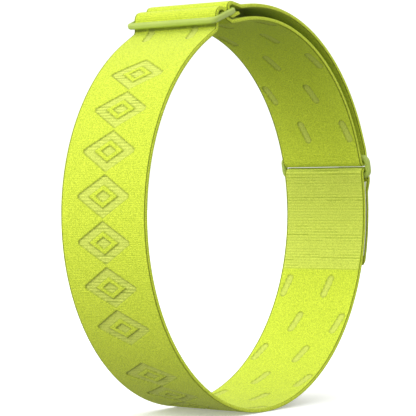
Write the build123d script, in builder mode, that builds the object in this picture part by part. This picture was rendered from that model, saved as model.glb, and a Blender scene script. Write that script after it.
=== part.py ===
"""Adjustable elastic arm band: one woven strap, a three-bar slider, a loop ring and two bond films.

The loop stands on its rim. Its axis is Y and its centre is the origin. Angles are measured in the XZ
plane, from +X towards +Z. All sizes are in millimetres.
"""

import os
from math import asin, cos, degrees, radians, sin, sqrt

from build123d import *

# The strap
strap_width = 25.0
strap_thickness = 1.0
band_radius = 48.7  # centre of the strap's thickness, in the single layer
outer_run_radius = 51.85  # the same for the layer that lies outside, between ring and slider
bond_thickness = 0.7
bond_lead = 3.0  # degrees by which the bond film reaches past the tail, under the fold
tail_bevel_outer_angle = -14.9
tail_bevel_inner_angle = -16.8
bevel_margin = 0.3  # how far the cutting shape reaches past the strap's faces
bevel_overrun = 1.0  # degrees of strap trimmed away by the bevel
running_gap = 0.4  # free length left in the strap where a run meets a fold that moves

# The three-bar slider
slider_angle = 111.2
slider_radius = 51.4
slider_pitch = 4.5
slider_bar_width = 1.4
slider_thickness = 1.5
slider_outer_width = 27.0
slider_slot_width = 25.2
slider_corner = 1.6
slider_outer_edge = 0.6
slider_slot_edge = 0.25
wrap_bond_thickness = 0.1
wrap_bond_length = 0.6
wrap_bond_centre = 4.7
wrap_bond_width = 20.0

# The loop ring
ring_angle = 14.85
ring_radius = 50.25
ring_pitch = 4.8
ring_bar_width = 1.7
ring_thickness = 1.6
ring_outer_width = 28.2
ring_slot_width = 25.4
ring_corner = 2.2
ring_edge = 0.6
slot_corner = 0.5

half_strap = strap_thickness / 2
strap_outer_radius = band_radius + half_strap
bond_radius = strap_outer_radius + bond_thickness / 2
tail_radius = strap_outer_radius + bond_thickness + half_strap
tail_outer_radius = tail_radius + half_strap


def frame_at(angle, radius):
    """A plane across the strap at a place on the loop: x runs down the loop, y points away from its centre."""
    turn = radians(angle)
    return Plane(
        origin=(radius * cos(turn), 0, radius * sin(turn)),
        x_dir=(sin(turn), 0, -cos(turn)),
        z_dir=(0, -1, 0),
    )


def on_circle(circle_radius, frame_radius, along):
    """The point of a circle about the loop's centre, in a frame's own coordinates."""
    return (along, sqrt(circle_radius**2 - along**2) - frame_radius)


def on_tangent(circle_radius, frame_radius, touch, along):
    """The point at along on the line that touches the circle at touch."""
    height = on_circle(circle_radius, frame_radius, touch)[1]
    slope = -touch / sqrt(circle_radius**2 - touch**2)
    return (along, height + slope * (along - touch))


def angle_on_loop(circle_radius, frame_angle, along):
    """The loop angle of the point of a circle at along in a frame."""
    return frame_angle - degrees(asin(along / circle_radius))


def polar(radius, angle):
    return (radius * cos(radians(angle)), radius * sin(radians(angle)))


slider_plane = frame_at(slider_angle, slider_radius)
ring_plane = frame_at(ring_angle, ring_radius)

# Where the round runs of the strap hand over to its folds, measured along each frame
main_to_weave = -8.5
weave_to_inner = 8.5
wrap_to_outer = 10.0
inner_to_ring_fold = -5.0
outer_to_ring_fold = -9.0
main_to_end_fold = 3.2
tail_start = 9.5

main_start_angle = angle_on_loop(band_radius, slider_angle, main_to_weave)
main_end_angle = angle_on_loop(band_radius, ring_angle, main_to_end_fold)
inner_start_angle = angle_on_loop(band_radius, slider_angle, weave_to_inner)
inner_end_angle = angle_on_loop(band_radius, ring_angle, inner_to_ring_fold)
outer_start_angle = angle_on_loop(outer_run_radius, slider_angle, wrap_to_outer)
outer_end_angle = angle_on_loop(outer_run_radius, ring_angle, outer_to_ring_fold)
tail_start_angle = angle_on_loop(tail_radius, ring_angle, tail_start)
inner_gap_angle = degrees(running_gap / band_radius)
outer_gap_angle = degrees(running_gap / outer_run_radius)


# The single layer: from the ring's lower bar, under and up the far side, to the slider
with BuildPart() as strap_main_run:
    with BuildSketch(Plane.XZ):
        with BuildLine() as main_line:
            CenterArc((0, 0), band_radius, main_start_angle, 360 + main_end_angle - main_start_angle)
        trace(main_line.line, strap_thickness)
    extrude(amount=strap_width / 2, both=True)
strap_main_run.part.label = "strap_main_run"

# The strap passes under the slider's front bar and over its centre bar
with BuildPart() as strap_weave:
    with BuildSketch(slider_plane):
        with BuildLine() as weave_line:
            FilletPolyline(
                on_circle(band_radius, slider_radius, main_to_weave),
                on_tangent(band_radius, slider_radius, main_to_weave, -3.2),
                (-1.64, 1.83),
                (1.55, 1.83),
                (1.55, -1.0),
                on_tangent(band_radius, slider_radius, weave_to_inner, 3.37),
                on_circle(band_radius, slider_radius, weave_to_inner),
                radius=[1.5, 1.7, 1.7, 0.9, 1.5],
            )
        trace(weave_line.line, strap_thickness)
    extrude(amount=strap_width / 2, both=True)
strap_weave.part.label = "strap_weave"

# The inner of the two layers between slider and ring
with BuildPart() as strap_inner_run:
    with BuildSketch(Plane.XZ):
        with BuildLine() as inner_line:
            CenterArc(
                (0, 0),
                band_radius,
                inner_end_angle + inner_gap_angle,
                inner_start_angle - inner_end_angle - inner_gap_angle,
            )
        trace(inner_line.line, strap_thickness)
    extrude(amount=strap_width / 2, both=True)
strap_inner_run.part.label = "strap_inner_run"

# The outer of the two layers
with BuildPart() as strap_outer_run:
    with BuildSketch(Plane.XZ):
        with BuildLine() as outer_line:
            CenterArc(
                (0, 0),
                outer_run_radius,
                outer_end_angle + outer_gap_angle,
                outer_start_angle - outer_end_angle - 2 * outer_gap_angle,
            )
        trace(outer_line.line, strap_thickness)
    extrude(amount=strap_width / 2, both=True)
strap_outer_run.part.label = "strap_outer_run"

# The fold that goes out through the ring and round its upper bar
with BuildPart() as strap_ring_fold:
    with BuildSketch(ring_plane):
        with BuildLine() as ring_fold_line:
            FilletPolyline(
                on_circle(band_radius, ring_radius, inner_to_ring_fold),
                on_tangent(band_radius, ring_radius, inner_to_ring_fold, -0.75),
                (-0.75, 1.6),
                on_tangent(outer_run_radius, ring_radius, outer_to_ring_fold, -4.6),
                on_circle(outer_run_radius, ring_radius, outer_to_ring_fold),
                radius=[1.4, 1.4, 8.0],
            )
        trace(ring_fold_line.line, strap_thickness)
    extrude(amount=strap_width / 2, both=True)
strap_ring_fold.part.label = "strap_ring_fold"

# The strap's first end goes round the ring's lower bar and lies back outside, cut on a bevel
bevel_low_radius = strap_outer_radius - bevel_margin
bevel_high_radius = tail_outer_radius + bevel_margin
bevel_slope = (tail_bevel_outer_angle - tail_bevel_inner_angle) / (tail_outer_radius - strap_outer_radius)
bevel_far_angle = tail_bevel_inner_angle - 2 * bevel_overrun
bevel_line = [
    polar(bevel_low_radius, tail_bevel_inner_angle - bevel_slope * bevel_margin),
    polar(bevel_high_radius, tail_bevel_outer_angle + bevel_slope * bevel_margin),
    polar(bevel_high_radius, bevel_far_angle),
    polar(bevel_low_radius, bevel_far_angle),
]
with BuildPart() as strap_end_fold:
    with BuildSketch(ring_plane):
        with BuildLine() as end_fold_line:
            FilletPolyline(
                on_circle(band_radius, ring_radius, main_to_end_fold),
                on_tangent(band_radius, ring_radius, main_to_end_fold, 0.85),
                (0.85, 1.55),
                (4.3, 1.55),
                on_tangent(tail_radius, ring_radius, tail_start, 7.1),
                on_circle(tail_radius, ring_radius, tail_start),
                radius=[1.4, 1.4, 2.0, 2.5],
            )
        trace(end_fold_line.line, strap_thickness)
    extrude(amount=strap_width / 2, both=True)
    with BuildSketch(Plane.XZ):
        with BuildLine() as tail_line:
            CenterArc(
                (0, 0),
                tail_radius,
                tail_bevel_inner_angle - bevel_overrun,
                tail_start_angle - tail_bevel_inner_angle + bevel_overrun,
            )
        trace(tail_line.line, strap_thickness)
        with BuildLine():
            Polyline(*bevel_line, close=True)
        make_face(mode=Mode.SUBTRACT)
    extrude(amount=strap_width / 2, both=True)
strap_end_fold.part.label = "strap_end_fold"

# The film that bonds the folded-back end to the strap
with BuildPart() as tail_bond_film:
    with BuildSketch(Plane.XZ):
        with BuildLine() as bond_line:
            CenterArc(
                (0, 0),
                bond_radius,
                tail_bevel_inner_angle - bevel_overrun,
                tail_start_angle + bond_lead - tail_bevel_inner_angle + bevel_overrun,
            )
        trace(bond_line.line, bond_thickness)
        with BuildLine():
            Polyline(*bevel_line, close=True)
        make_face(mode=Mode.SUBTRACT)
    extrude(amount=strap_width / 2, both=True)
tail_bond_film.part.label = "tail_bond_film"

# The strap's other end goes round the slider's back bar and stops short
with BuildPart() as strap_slider_wrap:
    with BuildSketch(slider_plane):
        with BuildLine() as wrap_line:
            FilletPolyline(
                on_circle(outer_run_radius, slider_radius, wrap_to_outer),
                on_tangent(outer_run_radius, slider_radius, wrap_to_outer, 8.8),
                (4.9, 1.8),
                (3.1, 1.8),
                (3.1, -1.35),
                (7.1, -1.35),
                radius=[3.0, 1.2, 1.2, 1.3],
            )
        trace(wrap_line.line, strap_thickness)
    extrude(amount=strap_width / 2, both=True)
strap_slider_wrap.part.label = "strap_slider_wrap"

# The film that fixes that end to the back bar's underside
with BuildPart() as wrap_bond_film:
    with BuildSketch(slider_plane):
        with Locations((wrap_bond_centre, -slider_thickness / 2 - wrap_bond_thickness / 2)):
            Rectangle(wrap_bond_length, wrap_bond_thickness)
    extrude(amount=wrap_bond_width / 2, both=True)
wrap_bond_film.part.label = "wrap_bond_film"


def face_plane(frame):
    """The plane of a flat fitting: x runs down the loop and y across the strap."""
    return Plane(origin=frame.origin, x_dir=frame.x_dir, z_dir=frame.y_dir)


def outer_edges(fitting, frame):
    """The edges round the outside of a flat fitting's two faces."""
    faces = fitting.faces().filter_by(Axis(frame.origin, frame.y_dir))
    return [edge for face in faces for edge in face.outer_wire().edges()]


def slot_edges(fitting, frame):
    """The edges round the openings in a flat fitting's two faces."""
    faces = fitting.faces().filter_by(Axis(frame.origin, frame.y_dir))
    return [edge for face in faces for wire in face.inner_wires() for edge in wire.edges()]


# The slider: a flat moulded frame with a front bar, a centre bar and a back bar
with BuildPart() as slider:
    with BuildSketch(face_plane(slider_plane).offset(-slider_thickness / 2)):
        RectangleRounded(2 * slider_pitch + slider_bar_width, slider_outer_width, slider_corner)
        with GridLocations(slider_pitch, 0, 2, 1):
            RectangleRounded(
                slider_pitch - slider_bar_width, slider_slot_width, slot_corner, mode=Mode.SUBTRACT
            )
    extrude(amount=slider_thickness)
    fillet(outer_edges(slider, slider_plane), slider_outer_edge)
    fillet(slot_edges(slider, slider_plane), slider_slot_edge)
slider.part.label = "slider"

# The ring: a rectangular loop with nearly round bars
with BuildPart() as ring:
    with BuildSketch(face_plane(ring_plane).offset(-ring_thickness / 2)):
        RectangleRounded(ring_pitch + ring_bar_width, ring_outer_width, ring_corner)
        RectangleRounded(
            ring_pitch - ring_bar_width, ring_slot_width, slot_corner, mode=Mode.SUBTRACT
        )
    extrude(amount=ring_thickness)
    fillet(outer_edges(ring, ring_plane), ring_edge)
    fillet(slot_edges(ring, ring_plane), ring_edge)
ring.part.label = "ring"

os.makedirs("parts", exist_ok=True)
for piece in (
    strap_main_run,
    strap_weave,
    strap_inner_run,
    strap_outer_run,
    strap_ring_fold,
    strap_end_fold,
    tail_bond_film,
    strap_slider_wrap,
    wrap_bond_film,
    slider,
    ring,
):
    export_step(piece.part, f"parts/{piece.part.label}.step")
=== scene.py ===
import math

import bpy
import numpy as np
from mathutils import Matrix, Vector


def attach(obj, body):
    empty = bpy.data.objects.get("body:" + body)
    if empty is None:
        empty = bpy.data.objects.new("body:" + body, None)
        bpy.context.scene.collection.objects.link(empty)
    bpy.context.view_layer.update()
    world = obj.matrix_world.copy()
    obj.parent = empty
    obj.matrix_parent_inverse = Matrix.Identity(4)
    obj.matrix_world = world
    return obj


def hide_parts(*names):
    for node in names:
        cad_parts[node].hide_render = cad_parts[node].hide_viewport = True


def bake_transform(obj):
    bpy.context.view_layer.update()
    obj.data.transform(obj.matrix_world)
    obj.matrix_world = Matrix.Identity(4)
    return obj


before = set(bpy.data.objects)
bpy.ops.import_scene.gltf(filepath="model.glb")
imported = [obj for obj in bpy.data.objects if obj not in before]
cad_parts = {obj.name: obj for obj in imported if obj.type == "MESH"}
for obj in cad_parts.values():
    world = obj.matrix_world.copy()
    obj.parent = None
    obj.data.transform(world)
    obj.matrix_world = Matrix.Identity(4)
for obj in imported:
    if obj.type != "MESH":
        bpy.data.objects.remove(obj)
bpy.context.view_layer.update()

MM = 0.001

# ---------------------------------------------------------------- sizes, in millimetres and degrees
STRAP_WIDTH = 25.0
STRAP_THICKNESS = 1.0
BAND_RADIUS = 48.7  # of the middle of the strap's thickness, in the single and the inner layer
OUTER_RUN_RADIUS = 51.85
BOND_THICKNESS = 0.7
SLIDER_ANGLE, SLIDER_RADIUS = 111.2, 51.4
RING_ANGLE, RING_RADIUS = 14.85, 50.25
TAIL_BEVEL_OUTER, TAIL_BEVEL_INNER = -14.9, -16.8
TAIL_END_GAP = 0.6  # degrees by which the route ends before the bevel's inner edge
HALF = STRAP_THICKNESS / 2
HALF_WIDTH = STRAP_WIDTH / 2
BAND_OUTER = BAND_RADIUS + HALF
TAIL_RADIUS = BAND_OUTER + BOND_THICKNESS + HALF

# Where the strap's round runs hand over to its folds, along the frame of the slider or the ring
MAIN_TO_WEAVE, WEAVE_TO_INNER, WRAP_TO_OUTER = -8.5, 8.5, 10.0
INNER_TO_RING_FOLD, OUTER_TO_RING_FOLD = -5.0, -9.0
MAIN_TO_END_FOLD, END_FOLD_TO_TAIL = 3.2, 9.5

# Where the two folds pass through the ring, a little closer together than in the CAD part
RING_FOLD_AT, END_FOLD_AT = -0.59, 0.67


# ---------------------------------------------------------------- the strap's route
def circle_point(circle, frame_radius, along):
    """A circle's point in a fitting's frame: along the strap, then away from the loop's centre."""
    return along, math.sqrt(circle**2 - along**2) - frame_radius


def tangent_point(circle, frame_radius, touch, along):
    """The point at along on the line that touches the circle at touch."""
    height = circle_point(circle, frame_radius, touch)[1]
    return along, height - touch / math.sqrt(circle**2 - touch**2) * (along - touch)


def loop_angle(circle, frame_angle, along):
    """The loop angle of a circle's point at along in a fitting's frame."""
    return frame_angle - math.degrees(math.asin(along / circle))


MAIN_START = loop_angle(BAND_RADIUS, SLIDER_ANGLE, MAIN_TO_WEAVE)
MAIN_END = 360 + loop_angle(BAND_RADIUS, RING_ANGLE, MAIN_TO_END_FOLD)
INNER_START = loop_angle(BAND_RADIUS, RING_ANGLE, INNER_TO_RING_FOLD)
INNER_END = loop_angle(BAND_RADIUS, SLIDER_ANGLE, WEAVE_TO_INNER)
OUTER_START = loop_angle(OUTER_RUN_RADIUS, SLIDER_ANGLE, WRAP_TO_OUTER)
OUTER_END = loop_angle(OUTER_RUN_RADIUS, RING_ANGLE, OUTER_TO_RING_FOLD)
TAIL_START = loop_angle(TAIL_RADIUS, RING_ANGLE, END_FOLD_TO_TAIL)
TAIL_END = TAIL_BEVEL_INNER + TAIL_END_GAP


def to_loop(points, angle, radius):
    """Points of a fitting's frame, as x and z of the loop."""
    turn = math.radians(angle)
    down = np.array([math.sin(turn), -math.cos(turn)])
    out = np.array([math.cos(turn), math.sin(turn)])
    return [radius * out + u * down + v * out for u, v in points]


def rounded(points, radii, step=0.04):
    """A line through points with its corners rounded, as closely spaced points."""
    line = [np.array(points[0], float)]
    for before, corner, after, radius in zip(points, points[1:], points[2:], radii):
        corner = np.array(corner, float)
        back = np.array(before, float) - corner
        ahead = np.array(after, float) - corner
        back /= np.linalg.norm(back)
        ahead /= np.linalg.norm(ahead)
        half_angle = math.acos(np.clip(back @ ahead, -1, 1)) / 2
        middle = back + ahead
        centre = corner + middle / np.linalg.norm(middle) * radius / math.sin(half_angle)
        reach = radius / math.tan(half_angle)
        first, last = corner + back * reach - centre, corner + ahead * reach - centre
        start = math.atan2(first[1], first[0])
        sweep = (math.atan2(last[1], last[0]) - start + math.pi) % (2 * math.pi) - math.pi
        count = max(3, int(abs(sweep) * radius / step))
        for k in range(count + 1):
            turn = start + sweep * k / count
            line.append(centre + radius * np.array([math.cos(turn), math.sin(turn)]))
    line.append(np.array(points[-1], float))
    return line


def arc(radius, start, end, step=0.2):
    """Points of a circle about the loop's centre, between two loop angles."""
    count = max(2, int(abs(math.radians(end - start)) * radius / step))
    turns = np.radians(np.linspace(start, end, count + 1))
    return [radius * np.array([math.cos(t), math.sin(t)]) for t in turns]


def wrap_line():
    """The strap's first end, round the slider's back bar to the outer layer."""
    points = [
        (7.4, -1.35),
        (3.1, -1.35),
        (3.1, 1.8),
        (4.9, 1.8),
        tangent_point(OUTER_RUN_RADIUS, SLIDER_RADIUS, WRAP_TO_OUTER, 8.8),
        circle_point(OUTER_RUN_RADIUS, SLIDER_RADIUS, WRAP_TO_OUTER),
    ]
    return rounded(to_loop(points, SLIDER_ANGLE, SLIDER_RADIUS), [1.3, 1.2, 1.2, 3.0])


def ring_fold_line():
    """From the outer layer round the ring's upper bar to the inner layer."""
    points = [
        circle_point(OUTER_RUN_RADIUS, RING_RADIUS, OUTER_TO_RING_FOLD),
        tangent_point(OUTER_RUN_RADIUS, RING_RADIUS, OUTER_TO_RING_FOLD, -4.6),
        (RING_FOLD_AT, 1.6),
        tangent_point(BAND_RADIUS, RING_RADIUS, INNER_TO_RING_FOLD, RING_FOLD_AT),
        circle_point(BAND_RADIUS, RING_RADIUS, INNER_TO_RING_FOLD),
    ]
    return rounded(to_loop(points, RING_ANGLE, RING_RADIUS), [8.0, 1.4, 1.4])


def weave_line():
    """From the inner layer over the slider's centre bar to the single layer."""
    points = [
        circle_point(BAND_RADIUS, SLIDER_RADIUS, WEAVE_TO_INNER),
        tangent_point(BAND_RADIUS, SLIDER_RADIUS, WEAVE_TO_INNER, 3.37),
        (1.55, -1.0),
        (1.55, 1.83),
        (-1.64, 1.83),
        tangent_point(BAND_RADIUS, SLIDER_RADIUS, MAIN_TO_WEAVE, -3.2),
        circle_point(BAND_RADIUS, SLIDER_RADIUS, MAIN_TO_WEAVE),
    ]
    return rounded(to_loop(points, SLIDER_ANGLE, SLIDER_RADIUS), [1.5, 0.9, 1.7, 1.7, 1.5])


def end_fold_line():
    """From the single layer round the ring's lower bar to the bonded end."""
    points = [
        circle_point(BAND_RADIUS, RING_RADIUS, MAIN_TO_END_FOLD),
        tangent_point(BAND_RADIUS, RING_RADIUS, MAIN_TO_END_FOLD, END_FOLD_AT),
        (END_FOLD_AT, 1.55),
        (4.3, 1.55),
        tangent_point(TAIL_RADIUS, RING_RADIUS, END_FOLD_TO_TAIL, 7.1),
        circle_point(TAIL_RADIUS, RING_RADIUS, END_FOLD_TO_TAIL),
    ]
    return rounded(to_loop(points, RING_ANGLE, RING_RADIUS), [1.4, 1.4, 2.0, 2.5])


def strap_route():
    """The middle of the strap, edge on, from its end at the slider to its end below the ring.

    Returns the points, their lengths along the route, and the length at which each part starts.
    """
    parts = {
        "wrap": wrap_line(),
        "outer": arc(OUTER_RUN_RADIUS, OUTER_START, OUTER_END),
        "ring_fold": ring_fold_line(),
        "inner": arc(BAND_RADIUS, INNER_START, INNER_END),
        "weave": weave_line(),
        "main": arc(BAND_RADIUS, MAIN_START, MAIN_END),
        "end_fold": end_fold_line(),
        "tail": arc(TAIL_RADIUS, TAIL_START, TAIL_END),
    }
    line, firsts = [], {}
    for name, points in parts.items():
        firsts[name] = max(0, len(line) - 1)
        line += points[1:] if line else points
    line = np.array(line)
    lengths = np.concatenate([[0], np.cumsum(np.linalg.norm(np.diff(line, axis=0), axis=1))])
    return line, lengths, {name: lengths[first] for name, first in firsts.items()}


ROUTE, ROUTE_LENGTHS, STARTS = strap_route()
END = ROUTE_LENGTHS[-1]


def route_place(s):
    """The middle of the strap at lengths s."""
    return np.interp(s, ROUTE_LENGTHS, ROUTE[:, 0]), np.interp(s, ROUTE_LENGTHS, ROUTE[:, 1])


def along_route(s):
    """Places on the route at lengths s, and the normals of the strap's face side there."""
    small = 0.12
    x, z = route_place(s)
    x_before, z_before = route_place(np.clip(s - small, 0, END))
    x_after, z_after = route_place(np.clip(s + small, 0, END))
    along_x, along_z = x_after - x_before, z_after - z_before
    size = np.hypot(along_x, along_z)
    return x, z, along_z / size, -along_x / size


def main_length(angle):
    """The length along the route at a loop angle of the single layer."""
    return STARTS["main"] + math.radians(angle - MAIN_START) * BAND_RADIUS


def inner_length(angle):
    """The length along the route at a loop angle of the inner layer."""
    return STARTS["inner"] + math.radians(angle - INNER_START) * BAND_RADIUS


# ---------------------------------------------------------------- sizes of the strap's patterns
FACE, RIM, BACK = 1, 0, -1
FAR = 9.0  # a distance outside every mark

# Nested lozenges on the face: a frame with its tips cut off, and a core that is a share of its size.
# A run has a first angle, a pitch in degrees and a count.
MOTIF_HALF_LENGTH, MOTIF_HALF_HEIGHT, MOTIF_STROKE = 5.0, 8.0, 1.9
MOTIF_CORE, MOTIF_TIP = 0.27, 0.6
MOTIF_RUNS = ((137.2, 12.6, 7), (231.6, 11.6, 7), (323.0, 12.6, 1))
MOTIF_START, MOTIF_END = main_length(129.0), main_length(331.0)

# Ribs across the sunk lozenges and across the back of the lower right part. A rib has cells of
# uneven length across the strap, each of its own height, and the ribs swell and fade in bands.
RIB_START = main_length(341.7)
RIB_PITCH, RIB_HEIGHT, RIB_FADE, RIB_MARGIN = 0.8, 0.075, 0.3, 0.2
RIB_CELL, RIB_CELL_SPREAD, RIB_CELL_SHIFT, RIB_CELL_OFFSET = 3.0, 14, 9, 20
RIB_SWELL, RIB_SWELL_JUMP, RIB_SWELL_COUNT = 0.55, 2.5, 5
RIB_LEAST, RIB_MEAN, RIB_SWING, RIB_POWER = 0.05, 0.35, 0.9, 1.3
FACE_RIB_SHARE, BACK_RIB_PALE = 0.6, 0.75

# Small slanted bars. A run has a first length, a pitch, a turn and the lengths between which it lies.
MARK_HALF_LENGTH, MARK_RADIUS, MARK_TURN = 3.3, 0.95, math.radians(13)
FACE_MARK_ROWS = (6.6, -6.5)
FACE_MARK_RUNS = ((main_length(117.3), 24.0, -MARK_TURN, STARTS["main"] - 9, MOTIF_START),)
BACK_MARK_ROWS = (9.8, 3.25, -3.3, -9.9)
BACK_MARK_RUNS = (
    (inner_length(42.0), 24.6, MARK_TURN, STARTS["outer"] + 4, STARTS["ring_fold"] - 4),
    (inner_length(42.0), 24.6, MARK_TURN, STARTS["inner"] + 4, STARTS["weave"] - 2),
    (main_length(360 - 50.6), 22.4, -MARK_TURN, STARTS["main"], RIB_START - 5),
)

# Depths of the inlays, half the width of their slope, and how near to it a point is moved onto it.
# Then the groove and the lower selvedge beside each edge of the strap.
INLAY_DEPTH, MARK_DEPTH, EDGE_HALF_WIDTH, EDGE_REACH = 0.26, 0.2, 0.05, 0.15
GROOVE_AT, GROOVE_WIDTH, GROOVE_DEPTH, SELVEDGE_DROP = 12.23, 0.11, 0.2, 0.06

# Painted shade as dark lines round the inlays, a painted shadow below the slider's front bar, and painted
# light that makes part of the back paler
OUTLINE_SHADE, OUTLINE_REACH = 0.5, 0.12
BAR_SHADOW_AT, BAR_REACH, BAR_SHADE = STARTS["main"] - 6.1, 0.6, 0.8
PAINTED_LIGHT_CENTRE, PAINTED_LIGHT_REACH = main_length(322.0), 38.0

# The section's points: the end of the flat part, those about the groove, and the rounded rim
FLAT_END = 11.8
GROOVE_POINTS = (11.95, 12.05, 12.12, 12.18, 12.23, 12.28, 12.33)
RIM_REACH, RIM_RADIUS, RIM_POINTS = 0.14, 0.3, 7

# Steps between rows of points
ROW_STEP, MOTIF_ROW_STEP, RIB_ROW_STEP, BEND_ROW_STEP = 0.34, 0.25, 0.2, 0.13

# The slanted cuts of both ends, and the bonded end, which is narrower and has painted shade on its rims
START_CUT, START_CUT_REACH = 0.6, 3.0
END_CUT = math.radians(TAIL_BEVEL_OUTER - TAIL_BEVEL_INNER) * TAIL_RADIUS
END_CUT_REACH = 6.0
NARROW_AFTER, NARROW_REACH = 5, 5
RIM_SHARE, TAIL_RIM_SHADE = 0.994, 0.45

# The film under the bonded end, with a ridge along each edge. It starts below the loop angle FILM_TOP.
FILM_TOP, FILM_WIDTH, FILM_STEP, FILM_RIDGE = 10.0, 24.75, 0.5, 0.31
FILM_START = STARTS["end_fold"] + 6
FILM_END = END - 2.6
FILM_ROWS = 400


# ---------------------------------------------------------------- the strap's patterns
def smooth(edge, width):
    """1 inside, 0 outside, for signed distances that are negative inside."""
    t = np.clip(0.5 - edge / width, 0, 1)
    return t * t * (3 - 2 * t)


def lozenge(u, w, half_length, half_height):
    """Signed distance of a lozenge: u along the strap, w across it."""
    size = math.hypot(half_length, half_height)
    return (np.abs(u) * half_height + np.abs(w) * half_length - half_length * half_height) / size


def pill(u, w, half_length, radius, turn):
    """Signed distance of a rounded bar, turned."""
    c, s = math.cos(turn), math.sin(turn)
    a, b = u * c + w * s, -u * s + w * c
    return np.hypot(np.maximum(np.abs(a) - (half_length - radius), 0), b) - radius


def hashed(a, b):
    """A number from 0 to 1 for each pair of whole numbers, by the usual sine hash."""
    x = np.sin(a * 12.9898 + b * 78.233) * 43758.5453
    return x - np.floor(x)


def motif_distance(s, w):
    """Signed distance of the lozenges on the face side: a frame with a small core each."""
    inside = np.full(np.broadcast(s, w).shape, FAR)
    for first, pitch, count in MOTIF_RUNS:
        for k in range(count):
            u = s - main_length(first + k * pitch)
            outer = lozenge(u, w, MOTIF_HALF_LENGTH, MOTIF_HALF_HEIGHT)
            outer = np.maximum(outer, np.abs(w) - MOTIF_HALF_HEIGHT + MOTIF_TIP)
            frame_edge = np.maximum(outer, -outer - MOTIF_STROKE)
            core = lozenge(u, w, MOTIF_HALF_LENGTH * MOTIF_CORE, MOTIF_HALF_HEIGHT * MOTIF_CORE)
            inside = np.minimum(inside, np.minimum(frame_edge, core))
    return inside


def mark_distance(s, w, runs, rows, stagger):
    """Signed distance of small slanted bars, every second row a share of the pitch on."""
    inside = np.full(np.broadcast(s, w).shape, FAR)
    for first, pitch, turn, low, high in runs:
        for row, across in enumerate(rows):
            shift = pitch * stagger if row % 2 else 0
            u = (s - first - shift + pitch / 2) % pitch - pitch / 2
            centre = s - u
            bar = pill(u, w - across, MARK_HALF_LENGTH, MARK_RADIUS, turn)
            bar = np.where((centre > low) & (centre < high), bar, FAR)
            inside = np.minimum(inside, bar)
    return inside


def face_marks(s, w):
    return mark_distance(s, w, FACE_MARK_RUNS, FACE_MARK_ROWS, 0)


def back_marks(s, w):
    return mark_distance(s, w, BACK_MARK_RUNS, BACK_MARK_ROWS, 0.5)


def face_distance(s, w):
    return np.minimum(motif_distance(s, w), face_marks(s, w))


def ribs(s, w, share):
    """Fine ribs across the strap, of uneven height, with stronger and weaker bands."""
    number = np.floor(s / RIB_PITCH)
    stretch = RIB_CELL + RIB_CELL_SPREAD * hashed(number, 3.0)
    cell = np.floor((w + RIB_CELL_OFFSET + RIB_CELL_SHIFT * hashed(number, 1.0)) / stretch)
    jump = RIB_SWELL_JUMP * hashed(np.floor(number / RIB_SWELL_COUNT), 7.0)
    band = 0.5 + 0.5 * np.sin(number * RIB_SWELL + jump)
    height = RIB_LEAST + (RIB_MEAN + RIB_SWING * band) * hashed(number, cell) ** RIB_POWER
    return share * height * np.cos(2 * math.pi * s / RIB_PITCH)


def groove(w):
    return np.exp(-(((np.abs(w) - GROOVE_AT) / GROOVE_WIDTH) ** 2))


def selvedge(w):
    """How far the strap's surface lies below its face beside the edges."""
    step = np.clip((np.abs(w) - GROOVE_AT) / GROOVE_WIDTH + 0.5, 0, 1)
    return GROOVE_DEPTH * groove(w) + SELVEDGE_DROP * step


def snapped(distance, s, w):
    """Moves the points near an inlay's edge onto the edge, so that it is crisp."""
    small = 0.02
    d = distance(s, w)
    slope_s = (distance(s + small, w) - distance(s - small, w)) / (2 * small)
    slope_w = (distance(s, w + small) - distance(s, w - small)) / (2 * small)
    target = np.where(d < 0, -EDGE_HALF_WIDTH, EDGE_HALF_WIDTH)
    move = np.where(np.abs(d) < EDGE_REACH, target - d, 0)
    return s + move * slope_s, w + move * slope_w, np.where(np.abs(d) < EDGE_REACH, target, d)


def painted_shade_lines(w, distance):
    """How strong the painted shade is in the groove and round the inlays' outlines."""
    return np.maximum(groove(w), OUTLINE_SHADE * np.exp(-((distance / OUTLINE_REACH) ** 2)))


def face_relief(s, w):
    """The face side's points with their height, how far each is inlaid, its rib and its painted shade."""
    motif_here = motif_distance(s, w) < face_marks(s, w)
    s, w, distance = snapped(face_distance, s, w)
    inlay = smooth(distance, 2 * EDGE_HALF_WIDTH)
    wave = ribs(s, w, inlay * motif_here)
    sunk = np.where(motif_here, INLAY_DEPTH, MARK_DEPTH) * inlay
    height = FACE_RIB_SHARE * RIB_HEIGHT * wave - sunk - selvedge(w)
    # a painted shadow on the strap just below the slider's front bar
    bar_shadow = BAR_SHADE * np.exp(-(((s - BAR_SHADOW_AT) / BAR_REACH) ** 2))
    return s, w, height, inlay, wave, np.maximum(painted_shade_lines(w, distance), bar_shadow)


def back_relief(s, w):
    """The same for the back, where the ribs are as pale as a weak inlay."""
    ribbed = smooth(RIB_START - s, RIB_FADE) * (np.abs(w) < GROOVE_AT - RIB_MARGIN)
    s, w, distance = snapped(back_marks, s, w)
    marks = smooth(distance, 2 * EDGE_HALF_WIDTH)
    wave = ribs(s, w, ribbed)
    height = RIB_HEIGHT * wave - MARK_DEPTH * marks - selvedge(w)
    return s, w, height, np.maximum(BACK_RIB_PALE * ribbed, marks), wave, painted_shade_lines(w, distance)


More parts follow.
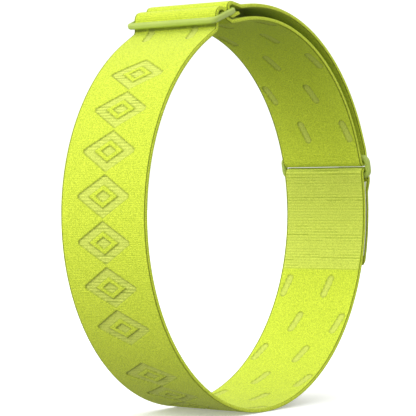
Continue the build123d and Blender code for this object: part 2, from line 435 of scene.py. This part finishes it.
# ---------------------------------------------------------------- meshes
def strap_section(face_step, back_step):
    """Points round the strap's section: across, height and side."""
    centre_across, centre_height = HALF_WIDTH - RIM_REACH, HALF - SELVEDGE_DROP - RIM_RADIUS

    def side(step):
        flat = np.linspace(-FLAT_END, FLAT_END, int(round(2 * FLAT_END / step)) + 1)
        return np.concatenate([-np.array(GROOVE_POINTS[::-1]), flat, GROOVE_POINTS])

    def rounding(sign_across, sign_height, turns):
        points = []
        for turn in np.radians(turns):
            across = sign_across * (centre_across + RIM_REACH * math.cos(turn))
            height = sign_height * (centre_height + RIM_RADIUS * math.sin(turn))
            points.append((across, height, RIM))
        return points

    down, up = np.linspace(90, 0, RIM_POINTS), np.linspace(0, 90, RIM_POINTS)
    points = [(w, HALF, FACE) for w in side(face_step)]
    points += rounding(1, 1, down[1:]) + rounding(1, -1, up[:-1])
    points += [(w, -HALF, BACK) for w in side(back_step)[::-1]]
    points += rounding(-1, -1, down[1:]) + rounding(-1, 1, up[:-1])
    return np.array(points)


def row_lengths(start, end):
    """Lengths of the strap's rows, closer in the bends and where the weave has relief."""
    close = (
        (0, STARTS["outer"], BEND_ROW_STEP),
        (STARTS["ring_fold"], STARTS["inner"], BEND_ROW_STEP),
        (STARTS["weave"], STARTS["main"], BEND_ROW_STEP),
        (STARTS["end_fold"], STARTS["tail"], BEND_ROW_STEP),
        (MOTIF_START, MOTIF_END, MOTIF_ROW_STEP),
        (RIB_START, END, RIB_ROW_STEP),
    )
    rows, at = [start], start
    while at < end:
        at += min([ROW_STEP] + [step for low, high, step in close if low <= at <= high])
        rows.append(at)
    rows = np.array(rows)
    return start + (rows - start) * (end - start) / (rows[-1] - start)


def slanted_ends(s, height):
    """The cut ends slope through the strap's thickness."""
    from_start = np.clip(1 - s / START_CUT_REACH, 0, 1)
    from_end = np.clip(1 - (END - s) / END_CUT_REACH, 0, 1)
    share = np.clip(0.5 + height / STRAP_THICKNESS, 0, 1)
    return s + from_start * START_CUT * share - from_end * END_CUT * (1 - share)


def painted_light_share(s):
    """How strongly the painted light brightens the back of the lower run."""
    return np.exp(-(((s - PAINTED_LIGHT_CENTRE) / PAINTED_LIGHT_REACH) ** 2))


def strap_surface(start, end, face_step, back_step):
    """A length of the strap as rows of points, with the attributes that its material reads."""
    section = strap_section(face_step, back_step)
    s = row_lengths(start, end)[:, None]
    across, level, side = (section[:, k][None] + 0 * s for k in range(3))
    s = s + 0 * across
    on_face, on_back = side == FACE, side == BACK
    facing, backing, plain = face_relief(s, across), back_relief(s, across), (s, across, 0, 0, 0, 0)
    moved_s, moved_w, relief, inlay, wave, painted_shade = (
        np.where(on_face, f, np.where(on_back, b, p)) for f, b, p in zip(facing, backing, plain)
    )
    along = slanted_ends(moved_s, level)
    narrow = np.clip((along - STARTS["end_fold"] - NARROW_AFTER) / NARROW_REACH, 0, 1)
    # the rims of the bonded end get painted shade
    shaded = (side == RIM) & (level < HALF)
    attributes = {
        "inlay": inlay,
        "wave": wave,
        "painted_shade": np.where(shaded, TAIL_RIM_SHADE * narrow, painted_shade),
        "along": along,
        "across": moved_w * (1 - (1 - RIM_SHARE) * narrow),
        "painted_light": np.where(on_back, painted_light_share(along), 0.0),
    }
    height = level + np.where(on_back, -relief, relief)
    x, z, out_x, out_z = along_route(along)
    points = np.stack([x + out_x * height, attributes["across"], z + out_z * height], axis=-1)
    return points, attributes


def closed_tube(name, points):
    """An object from rows of points: each row is joined to the next, and both ends are closed."""
    rows, columns = points.shape[:2]
    column = np.arange(columns)
    first = np.arange(rows - 1)[:, None] * columns
    a, b = first + column, first + np.roll(column, -1)
    sides = np.stack([a, a + columns, b + columns, b], axis=-1).reshape(-1, 4)
    last = (rows - 1) * columns
    ends = [column.tolist(), (last + column[::-1]).tolist()]
    mesh = bpy.data.meshes.new(name)
    mesh.from_pydata((points.reshape(-1, 3) * MM).tolist(), [], sides.tolist() + ends)
    mesh.update()
    piece = bpy.data.objects.new(name, mesh)
    bpy.context.scene.collection.objects.link(piece)
    return piece


def smooth_sides(mesh, columns):
    """Smooth shading round a closed tube, with flat ends and sharp edges about them."""
    flags = np.ones(len(mesh.polygons), bool)
    flags[-2:] = False
    mesh.polygons.foreach_set("use_smooth", flags)
    corners = np.empty(2 * len(mesh.edges), int)
    mesh.edges.foreach_get("vertices", corners)
    corners = corners.reshape(-1, 2)
    last = len(mesh.vertices) - columns
    sharp = (corners < columns).all(axis=1) | (corners >= last).all(axis=1)
    mesh.attributes.new("sharp_edge", "BOOLEAN", "EDGE").data.foreach_set("value", sharp)


def strap_piece(name, start, end, face_step, back_step):
    """A length of the strap as one closed mesh."""
    points, attributes = strap_surface(start, end, face_step, back_step)
    piece = closed_tube(name, points)
    for label, values in attributes.items():
        layer = piece.data.attributes.new(label, "FLOAT", "POINT")
        layer.data.foreach_set("value", values.astype(np.float32).ravel())
    smooth_sides(piece.data, points.shape[1])
    return piece


def film_piece(name):
    """The pale film that joins the strap's end to the strap, with a wedge where the end lifts away."""
    s = np.linspace(STARTS["end_fold"], FILM_END, FILM_ROWS)
    x, z, out_x, out_z = along_route(s)
    x, z = x + out_x * HALF, z + out_z * HALF
    turns, underside = np.arctan2(z, x), np.hypot(x, z)
    filmed = (s > FILM_START) & (turns < math.radians(FILM_TOP))
    turns, underside = turns[filmed, None], underside[filmed, None]
    edge = FILM_WIDTH / 2
    side = [(edge, 0, 0), (edge, FILM_RIDGE, 0), (edge - FILM_STEP, FILM_RIDGE, 0), (edge - FILM_STEP, 0, 1)]
    corners = [(-across, rise, share) for across, rise, share in side] + side[::-1]
    across, rise, share = np.array(corners).T
    radius = BAND_OUTER + rise + (underside - BAND_OUTER) * share
    across = across + 0 * radius
    return closed_tube(name, np.stack([radius * np.cos(turns), across, radius * np.sin(turns)], axis=-1))


# ---------------------------------------------------------------- materials
class Nodes:
    """Short ways to write the nodes of a material or of the world."""

    def __init__(self, owner):
        owner.use_nodes = True
        self.tree = owner.node_tree

    def inputs(self, node_name):
        return self.tree.nodes[node_name].inputs

    def put(self, socket, value):
        if isinstance(value, bpy.types.NodeSocket):
            self.tree.links.new(value, socket)
        else:
            socket.default_value = value

    def coordinates(self, kind):
        return self.tree.nodes.new("ShaderNodeTexCoord").outputs[kind]

    def attribute(self, name):
        node = self.tree.nodes.new("ShaderNodeAttribute")
        node.attribute_name = name
        return node.outputs["Fac"]

    def maths(self, operation, *values):
        node = self.tree.nodes.new("ShaderNodeMath")
        node.operation = operation
        for socket, value in zip(node.inputs, values):
            self.put(socket, value)
        return node.outputs[0]

    def noise(self, scale, detail=2.0):
        node = self.tree.nodes.new("ShaderNodeTexNoise")
        node.inputs["Scale"].default_value = scale
        node.inputs["Detail"].default_value = detail
        self.put(node.inputs["Vector"], self.coordinates("Object"))
        return node.outputs["Fac"]

    def spread(self, value, low, high, to_low=0.0, to_high=1.0):
        node = self.tree.nodes.new("ShaderNodeMapRange")
        for name, number in (("From Min", low), ("From Max", high), ("To Min", to_low), ("To Max", to_high)):
            node.inputs[name].default_value = number
        self.put(node.inputs["Value"], value)
        return node.outputs["Result"]

    def scaled(self, colour, factor):
        node = self.tree.nodes.new("ShaderNodeVectorMath")
        node.operation = "SCALE"
        self.put(node.inputs[0], colour)
        self.put(node.inputs["Scale"], factor)
        return node.outputs["Vector"]

    def mix(self, factor, a, b):
        node = self.tree.nodes.new("ShaderNodeMix")
        node.data_type = "RGBA"
        self.put(node.inputs["Factor"], factor)
        self.put(node.inputs["A"], a)
        self.put(node.inputs["B"], b)
        return node.outputs["Result"]

    def bump(self, height, strength, distance):
        node = self.tree.nodes.new("ShaderNodeBump")
        node.inputs["Strength"].default_value = strength
        node.inputs["Distance"].default_value = distance
        self.put(node.inputs["Height"], height)
        return node.outputs["Normal"]


def new_material(name):
    """A material, the short ways to write its nodes, and its surface's inputs."""
    material = bpy.data.materials.new(name)
    make = Nodes(material)
    return material, make, make.inputs("Principled BSDF")


def strap_material():
    """Woven elastic: fine uneven stitches, paler inlays, painted shade as dark lines in the grooves beside
    the edges, and painted light on part of the back.
    """
    deep_yarn, bright_yarn = (0.36, 0.465, 0.020, 1), (0.72, 0.82, 0.068, 1)
    deep_inlay, bright_inlay = (0.46, 0.55, 0.07, 1), (0.72, 0.80, 0.145, 1)
    blotch_tint, blotch_share = (0.48, 0.66, 0.03, 1), 0.16
    valley_tint, valley_share = (0.26, 0.33, 0.035, 1), 0.85
    # the colour of the painted shade
    painted_shade_tint = (0.07, 0.10, 0.008, 1)
    painted_light_gain = 0.17
    wale_pitch, course_pitch, course_sway, course_depth = 0.5, 0.42, 1.1, 0.2
    material, make, surface = new_material("strap_elastic")
    grain = make.spread(make.noise(scale=3300, detail=1.5), low=0.30, high=0.70)
    wale = make.maths("SINE", make.maths("MULTIPLY", make.attribute("across"), 2 * math.pi / wale_pitch))
    course = make.maths("MULTIPLY", make.attribute("along"), 2 * math.pi / course_pitch)
    course = make.maths("SINE", make.maths("ADD", course, make.maths("MULTIPLY", wale, course_sway)))
    stitch = make.maths("MULTIPLY_ADD", course, course_depth, grain)
    shade = make.spread(stitch, low=-0.1, high=1.1)
    yarn = make.mix(shade, deep_yarn, bright_yarn)
    yarn = make.mix(make.maths("MULTIPLY", make.noise(scale=160), blotch_share), yarn, blotch_tint)
    pale = make.mix(shade, deep_inlay, bright_inlay)
    valley = make.spread(make.attribute("wave"), low=0.2, high=-0.8)
    pale = make.mix(make.maths("MULTIPLY", valley, valley_share), pale, valley_tint)
    colour = make.mix(make.attribute("inlay"), yarn, pale)
    uneven = make.spread(make.noise(scale=900, detail=1.0), low=-0.2, high=0.45)
    # painted shade in the grooves, round the inlays, below the slider's bar and on the bonded end's rims,
    # broken up by noise
    colour = make.mix(make.maths("MULTIPLY", make.attribute("painted_shade"), uneven), colour, painted_shade_tint)
    # painted light: the back of the lower run is made brighter
    colour = make.scaled(colour, make.maths("MULTIPLY_ADD", make.attribute("painted_light"), painted_light_gain, 1.0))
    make.put(surface["Base Color"], colour)
    make.put(surface["Roughness"], make.spread(stitch, low=-1.6, high=0.6))
    make.put(surface["Specular IOR Level"], 0.25)
    make.put(surface["Sheen Weight"], 0.1)
    make.put(surface["Sheen Roughness"], 0.4)
    make.put(surface["Normal"], make.bump(stitch, strength=0.6, distance=0.00015))
    return material


def plastic_material():
    """Moulded satin plastic with faint flow lines."""
    material, make, surface = new_material("fitting_plastic")
    cloud, flow = make.noise(scale=320, detail=3.0), make.noise(scale=2600)
    colour = make.mix(cloud, (0.32, 0.42, 0.055, 1), (0.40, 0.51, 0.08, 1))
    make.put(surface["Base Color"], colour)
    make.put(surface["Roughness"], make.spread(make.noise(scale=1800), low=-0.7, high=2.0))
    make.put(surface["Normal"], make.bump(flow, strength=0.12, distance=0.00005))
    return material


def film_material():
    """Milky glue film, a little cloudy."""
    material, make, surface = new_material("bond_film")
    colour = make.mix(make.noise(scale=900), (0.56, 0.60, 0.42, 1), (0.72, 0.76, 0.58, 1))
    make.put(surface["Base Color"], colour)
    make.put(surface["Roughness"], make.spread(make.noise(scale=1500), low=-0.6, high=1.6))
    return material


def floor_material():
    """Matt white, with a little light of its own."""
    material, make, surface = new_material("floor")
    make.put(surface["Base Color"], (0.93, 0.93, 0.93, 1))
    make.put(surface["Roughness"], 0.9)
    make.put(surface["Emission Color"], (1, 1, 1, 1))
    make.put(surface["Emission Strength"], 0.22)
    return material


STRAP, PLASTIC, FILM = strap_material(), plastic_material(), film_material()

# ---------------------------------------------------------------- the pieces
# Where the strap is cut into pieces, as lengths along the route
SPLIT_OUTER = STARTS["outer"] + 0.5 * (STARTS["ring_fold"] - STARTS["outer"])
SPLIT_INNER = inner_length(45)
SPLIT_WEAVE = STARTS["main"] + 0.5
SPLIT_END = RIB_START + 5

pieces = {}
for name, start, end, face_step, back_step in (
    ("strap_slider_length", 0, SPLIT_OUTER, 0.6, 0.3),
    ("strap_ring_length", SPLIT_OUTER, SPLIT_INNER, 0.6, 0.3),
    ("strap_inner_length", SPLIT_INNER, SPLIT_WEAVE, 0.25, 0.3),
    ("strap_main_length", SPLIT_WEAVE, SPLIT_END, 0.25, 0.35),
    ("strap_end_length", SPLIT_END, END, 0.6, 0.4),
):
    piece = strap_piece(name, start, end, face_step, back_step)
    piece.data.materials.append(STRAP)
    pieces[name] = piece

film = film_piece("tail_film")
film.data.materials.append(FILM)
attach(film, "band")
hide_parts("tail_bond_film")
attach(pieces["strap_inner_length"], "band")
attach(pieces["strap_main_length"], "band")
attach(pieces["strap_end_length"], "band")
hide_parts("strap_inner_run", "strap_weave")
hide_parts("strap_main_run")
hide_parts("strap_end_fold")
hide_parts("strap_ring_fold", "strap_outer_run")
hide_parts("strap_slider_wrap")


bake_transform(pieces["strap_ring_length"])
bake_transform(pieces["strap_slider_length"])

for node, material in (("slider", PLASTIC), ("ring", PLASTIC), ("wrap_bond_film", FILM)):
    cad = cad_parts[node]
    cad.data.materials.clear()
    cad.data.materials.append(material)

# ---------------------------------------------------------------- floor, light and camera, in metres
FLOOR_SIZE = 60
LOW_SKY, HIGH_SKY, LEFT_SKY = 0.1, 1.15, 0.42
CAMERA_PLACE = (-0.36449, -0.25499, 0.001595)
CAMERA_TURN = math.radians(-54.483)
CAMERA_LENS = 152.05  # millimetres


def white_floor():
    """A floor that the strap's lowest point touches. Diffuse rays pass it, so it doesn't light the strap."""
    bpy.ops.mesh.primitive_plane_add(size=FLOOR_SIZE, location=(0, 0, -BAND_OUTER * MM))
    floor = bpy.context.object
    floor.name = "floor"
    floor.data.materials.append(floor_material())
    floor.visible_diffuse = False
    return floor


def white_sky():
    """A white sky, dark below the horizon and brighter on the left, towards -x."""
    world = bpy.data.worlds.new("world")
    make = Nodes(world)
    parts = make.tree.nodes.new("ShaderNodeSeparateXYZ")
    make.put(parts.inputs[0], make.coordinates("Generated"))
    rise = make.spread(parts.outputs["Z"], low=-0.12, high=-0.02, to_low=LOW_SKY, to_high=HIGH_SKY)
    left = make.spread(parts.outputs["X"], low=-0.35, high=-0.15, to_low=LEFT_SKY, to_high=0.0)
    background = make.inputs("Background")
    make.put(background["Strength"], make.maths("ADD", rise, left))
    make.put(background["Color"], (1, 1, 1, 1))
    return world


def area_light(name, place, size, power):
    """A square lamp that faces the loop's centre."""
    light = bpy.data.lights.new(name, "AREA")
    light.size = size
    light.energy = power
    lamp = bpy.data.objects.new(name, light)
    lamp.location = place
    lamp.rotation_euler = (-Vector(place)).to_track_quat("-Z", "Y").to_euler()
    bpy.context.scene.collection.objects.link(lamp)


def level_camera(place, turn, lens):
    """A camera that looks along the floor."""
    data = bpy.data.cameras.new("camera")
    data.lens = lens
    camera = bpy.data.objects.new("camera", data)
    camera.location = place
    camera.rotation_euler = (math.radians(90), 0, turn)
    bpy.context.scene.collection.objects.link(camera)
    return camera


floor = white_floor()
bpy.context.scene.world = white_sky()
bpy.context.scene.view_settings.view_transform = "Standard"
area_light("key", place=(-0.7, 0.3, 0.6), size=0.35, power=1.4)
area_light("side", place=(-0.7, 0.0, 0.03), size=0.12, power=0.8)
bpy.context.scene.camera = level_camera(CAMERA_PLACE, CAMERA_TURN, CAMERA_LENS)
